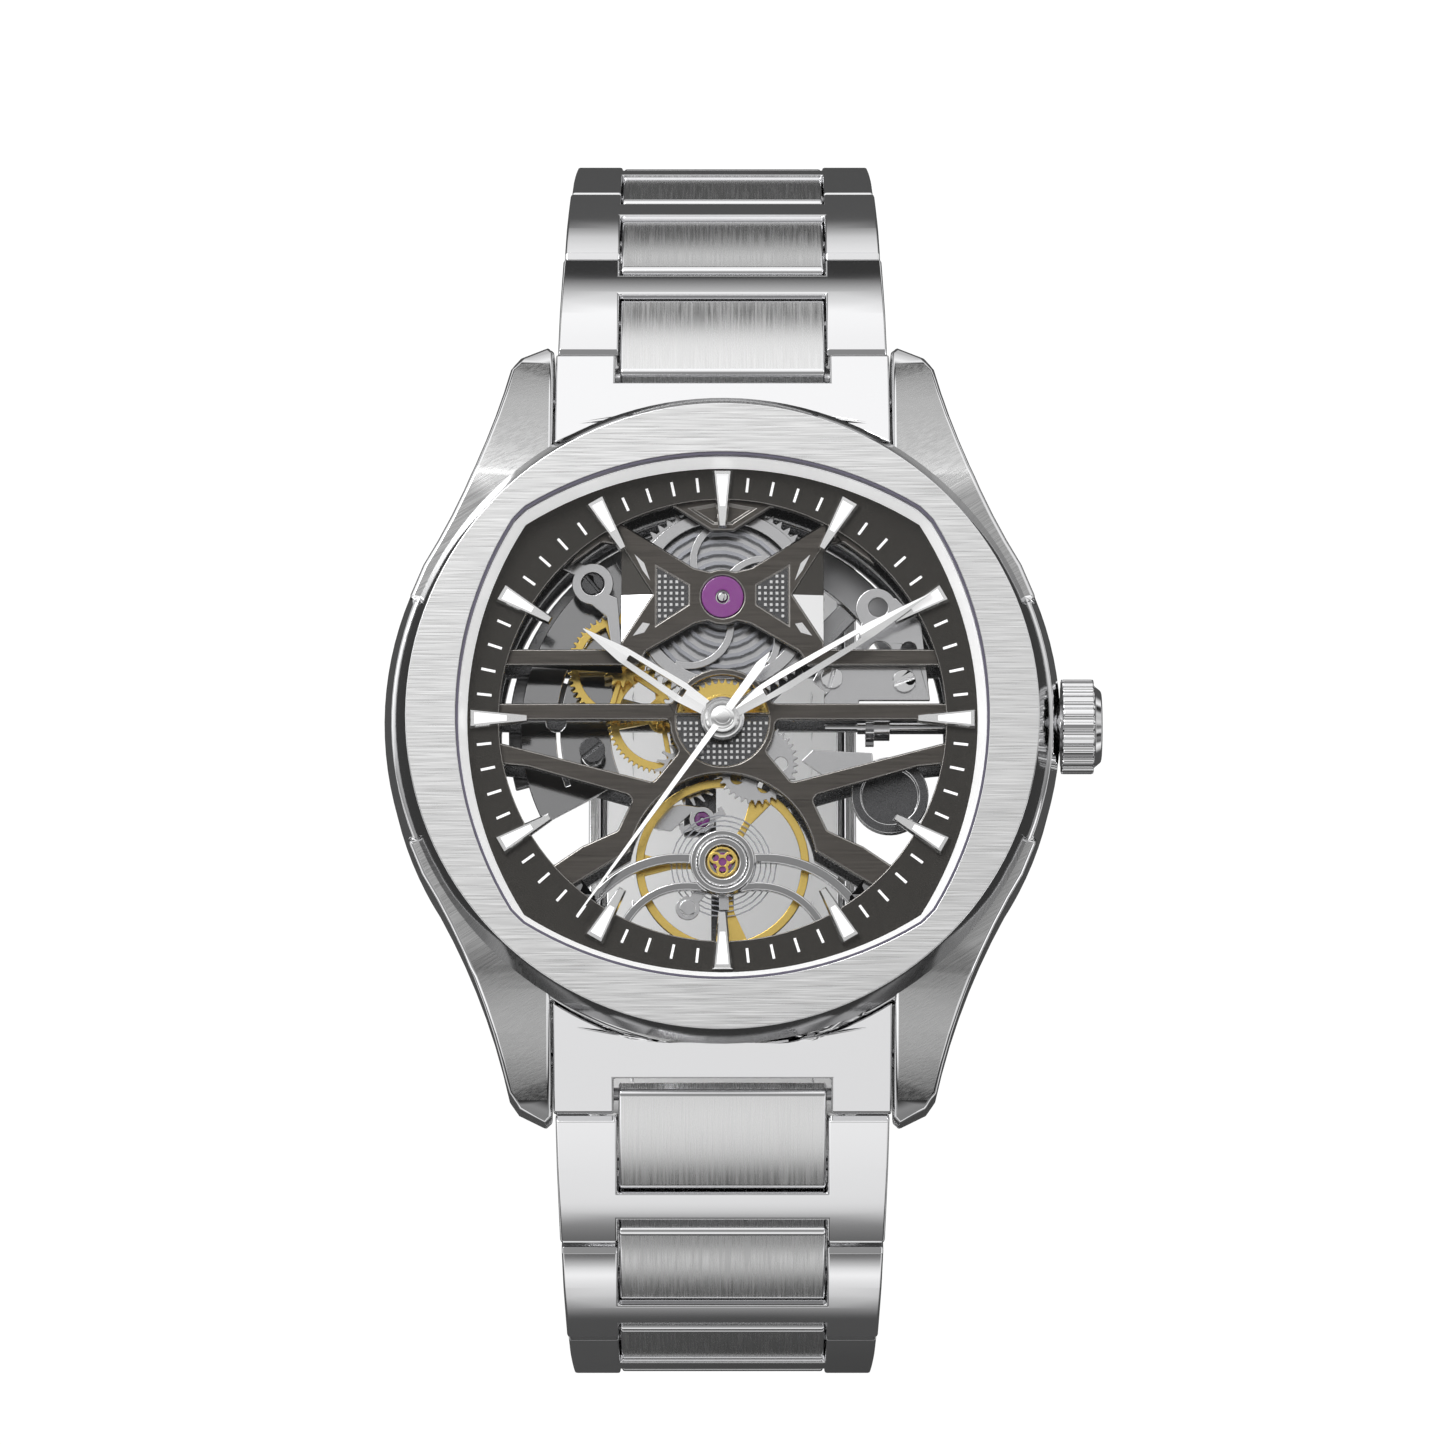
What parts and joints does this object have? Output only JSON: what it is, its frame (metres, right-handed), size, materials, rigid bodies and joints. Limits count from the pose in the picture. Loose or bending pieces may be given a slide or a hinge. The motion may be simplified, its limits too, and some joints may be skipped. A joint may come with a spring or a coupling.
{
  "type": "skeleton wristwatch",
  "caption": "Automatic skeleton wristwatch with a cushion-shaped dial window in a round brushed bezel, a geared train, a winding rotor, and a steel H-link bracelet with a folding clasp.",
  "frame": {"origin": "centre of the case back's outer face", "axes": "+Z towards the crystal, +Y to 12 o'clock, +X to the crown"},
  "size_m": [0.0446, 0.0793, 0.0499],
  "materials": {
    "steel_brushed": "brushed",
    "steel_polished": "high polish",
    "crystal_glass": "clear",
    "gasket_grey": "matte",
    "seal_black": "matte",
    "flange_white": "satin white",
    "dial_anthracite": "fine sandblasted",
    "bridge_anthracite": "brushed with bevels",
    "index_steel": "faceted, with white inlay",
    "jewel_purple": "polished",
    "movement_steel": "rhodium, fine grain",
    "rotor_dark": "dark grained",
    "brass_gilt": "gilt",
    "spring_steel": "tempered",
    "hand_steel": "polished facets"
  },
  "bodies": {
    "case": {"case_middle": "steel_brushed", "bezel": "steel_brushed", "crystal": "crystal_glass", "crystal_gasket": "gasket_grey", "flange_ring": "flange_white", "chapter_ring": "dial_anthracite", "hour_indices": "index_steel", "dial_bridge": "bridge_anthracite", "dial_jewels": "jewel_purple", "main_plate": "movement_steel", "casing_ring": "movement_steel", "pallet_bridge": "movement_steel", "balance_bridge": "movement_steel", "regulator": "movement_steel", "shock_setting": "brass_gilt", "setting_plate": "movement_steel", "movement_screws": "movement_steel", "barrel_arbor": "movement_steel", "crown_tube": "steel_polished", "case_back": "steel_polished", "back_glass": "crystal_glass", "back_gasket": "seal_black", "end_link_12": "steel_polished", "end_link_6": "steel_polished", "spring_bars": "steel_polished"},
    "crown_slide": {"crown_gasket": "seal_black"},
    "crown": {"crown": "steel_polished", "stem": "movement_steel"},
    "clutch": {"sliding_pinion": "movement_steel"},
    "barrel": {"barrel": "movement_steel", "mainspring": "spring_steel"},
    "second_wheel": {"second_wheel": "brass_gilt"},
    "third_wheel": {"third_wheel": "brass_gilt"},
    "seconds": {"seconds_arbor": "brass_gilt", "seconds_hand": "hand_steel"},
    "escape_wheel": {"escape_wheel": "movement_steel"},
    "pallet_fork": {"pallet_fork": "movement_steel"},
    "balance": {"balance_wheel": "brass_gilt", "hairspring": "spring_steel"},
    "minutes": {"cannon_pinion": "movement_steel", "minute_hand": "hand_steel"},
    "minute_wheel": {"minute_wheel": "movement_steel"},
    "hours": {"hour_wheel": "brass_gilt", "hour_hand": "hand_steel"},
    "rotor": {"rotor": "rotor_dark"},
    "upper_row_1": {"upper_link_1": "steel_polished"},
    "upper_row_2": {"upper_link_2": "steel_polished"},
    "upper_row_3": {"upper_link_3": "steel_polished"},
    "upper_row_4": {"upper_link_4": "steel_polished"},
    "upper_row_5": {"upper_link_5": "steel_polished"},
    "lower_row_1": {"lower_link_1": "steel_polished"},
    "lower_row_2": {"lower_link_2": "steel_polished"},
    "lower_row_3": {"lower_link_3": "steel_polished"},
    "lower_row_4": {"lower_link_4": "steel_polished"},
    "lower_row_5": {"lower_link_5": "steel_polished"},
    "inner_blade": {"clasp_inner_blade": "steel_polished"},
    "middle_blade": {"clasp_middle_blade": "steel_polished"},
    "clasp_cover": {"clasp_cover": "steel_polished"},
    "button_left": {"push_button_left": "steel_polished"},
    "button_right": {"push_button_right": "steel_polished"}
  },
  "joints": [
    {"name": "crown_pull", "type": "slide", "parent": "case", "child": "crown_slide", "axis": [1, 0, 0], "range_m": [0, 0.0012]},
    {"name": "crown_turn", "type": "hinge", "parent": "crown_slide", "child": "crown", "pos_m": [0.0213, 0, 0.0059], "axis": [1, 0, 0], "continuous": true},
    {"name": "clutch_slide", "type": "slide", "parent": "case", "child": "clutch", "axis": [1, 0, 0], "range_m": [-0.0006, 0]},
    {"name": "seconds_spin", "type": "hinge", "parent": "case", "child": "seconds", "pos_m": [0, 0, 0.00976], "axis": [0, 0, -1], "continuous": true},
    {"name": "minute_spin", "type": "hinge", "parent": "case", "child": "minutes", "pos_m": [0, 0, 0.00942], "axis": [0, 0, -1], "continuous": true},
    {"name": "hour_spin", "type": "hinge", "parent": "case", "child": "hours", "pos_m": [0, 0, 0.00902], "axis": [0, 0, -1], "continuous": true},
    {"name": "minute_wheel_spin", "type": "hinge", "parent": "case", "child": "minute_wheel", "pos_m": [0.00212, -0.00253, 0.007], "axis": [0, 0, -1], "continuous": true},
    {"name": "third_spin", "type": "hinge", "parent": "case", "child": "third_wheel", "pos_m": [-0.00377, 0.00063, 0.00485], "axis": [0, 0, -1], "continuous": true},
    {"name": "second_spin", "type": "hinge", "parent": "case", "child": "second_wheel", "pos_m": [-0.0062, 0.00376, 0.00535], "axis": [0, 0, -1], "continuous": true},
    {"name": "barrel_spin", "type": "hinge", "parent": "case", "child": "barrel", "pos_m": [0, 0.0078, 0.006], "axis": [0, 0, -1], "continuous": true},
    {"name": "escape_spin", "type": "hinge", "parent": "case", "child": "escape_wheel", "pos_m": [-0.00218, -0.00287, 0.00535], "axis": [0, 0, -1], "continuous": true},
    {"name": "pallet_swing", "type": "hinge", "parent": "case", "child": "pallet_fork", "pos_m": [-0.00127, -0.00584, 0.00536], "axis": [0, 0, 1], "range_deg": [-5, 5]},
    {"name": "balance_swing", "type": "hinge", "parent": "case", "child": "balance", "pos_m": [0, -0.0088, 0.0061], "axis": [0, 0, 1], "range_deg": [-270, 270], "stiffness_Nm_per_rad": 0.0000004, "deforming": ["hairspring"]},
    {"name": "rotor_spin", "type": "hinge", "parent": "case", "child": "rotor", "pos_m": [0, 0, 0.0021], "axis": [0, 0, -1], "continuous": true},
    {"name": "upper_hinge_1", "type": "hinge", "parent": "case", "child": "upper_row_1", "pos_m": [0, 0.0227, 0.0032], "axis": [1, 0, 0], "range_deg": [0, 6]},
    {"name": "upper_hinge_2", "type": "hinge", "parent": "upper_row_1", "child": "upper_row_2", "pos_m": [0, 0.03003, -0.00156], "axis": [1, 0, 0], "range_deg": [0, 16]},
    {"name": "upper_hinge_3", "type": "hinge", "parent": "upper_row_2", "child": "upper_row_3", "pos_m": [0, 0.03576, -0.00816], "axis": [1, 0, 0], "range_deg": [0, 16]},
    {"name": "upper_hinge_4", "type": "hinge", "parent": "upper_row_3", "child": "upper_row_4", "pos_m": [0, 0.03946, -0.01608], "axis": [1, 0, 0], "range_deg": [0, 38]},
    {"name": "upper_hinge_5", "type": "hinge", "parent": "upper_row_4", "child": "upper_row_5", "pos_m": [0, 0.03749, -0.02459], "axis": [1, 0, 0], "range_deg": [0, 39]},
    {"name": "lower_hinge_1", "type": "hinge", "parent": "case", "child": "lower_row_1", "pos_m": [0, -0.0227, 0.0032], "axis": [-1, 0, 0], "range_deg": [0, 2.5]},
    {"name": "lower_hinge_2", "type": "hinge", "parent": "lower_row_1", "child": "lower_row_2", "pos_m": [0, -0.03034, -0.00104], "axis": [-1, 0, 0], "range_deg": [0, 26]},
    {"name": "lower_hinge_3", "type": "hinge", "parent": "lower_row_2", "child": "lower_row_3", "pos_m": [0, -0.03536, -0.0082], "axis": [-1, 0, 0], "range_deg": [0, 25]},
    {"name": "lower_hinge_4", "type": "hinge", "parent": "lower_row_3", "child": "lower_row_4", "pos_m": [0, -0.03687, -0.0168], "axis": [-1, 0, 0], "range_deg": [0, 38]},
    {"name": "lower_hinge_5", "type": "hinge", "parent": "lower_row_4", "child": "lower_row_5", "pos_m": [0, -0.03277, -0.02452], "axis": [-1, 0, 0], "range_deg": [0, 32]},
    {"name": "clasp_swing", "type": "hinge", "parent": "upper_row_5", "child": "inner_blade", "pos_m": [0, 0.0306, -0.02997], "axis": [1, 0, 0], "range_deg": [0, 20]},
    {"name": "clasp_open", "type": "hinge", "parent": "inner_blade", "child": "middle_blade", "pos_m": [0, -0.01898, -0.03246], "axis": [-1, 0, 0], "range_deg": [0, 150]},
    {"name": "cover_open", "type": "hinge", "parent": "middle_blade", "child": "clasp_cover", "pos_m": [0, 0.02538, -0.034], "axis": [1, 0, 0], "range_deg": [0, 150]},
    {"name": "button_left_press", "type": "slide", "parent": "clasp_cover", "child": "button_left", "axis": [1, 0, 0], "range_m": [0, 0.0005], "stiffness_N_per_m": 400},
    {"name": "button_right_press", "type": "slide", "parent": "clasp_cover", "child": "button_right", "axis": [-1, 0, 0], "range_m": [0, 0.0005], "stiffness_N_per_m": 400}
  ],
  "couplings": [
    {"joint": "clutch_slide", "follows": "crown_pull", "ratio": -0.5},
    {"joint": "minute_spin", "follows": "seconds_spin", "ratio": 0.016667},
    {"joint": "hour_spin", "follows": "seconds_spin", "ratio": 0.0013889},
    {"joint": "minute_wheel_spin", "follows": "seconds_spin", "ratio": -0.0055556},
    {"joint": "third_spin", "follows": "seconds_spin", "ratio": -0.13333},
    {"joint": "second_spin", "follows": "seconds_spin", "ratio": 0.022222},
    {"joint": "barrel_spin", "follows": "seconds_spin", "ratio": -0.0043011},
    {"joint": "escape_spin", "follows": "seconds_spin", "ratio": -9},
    {"joint": "cover_open", "follows": "clasp_open", "ratio": 1}
  ]
}
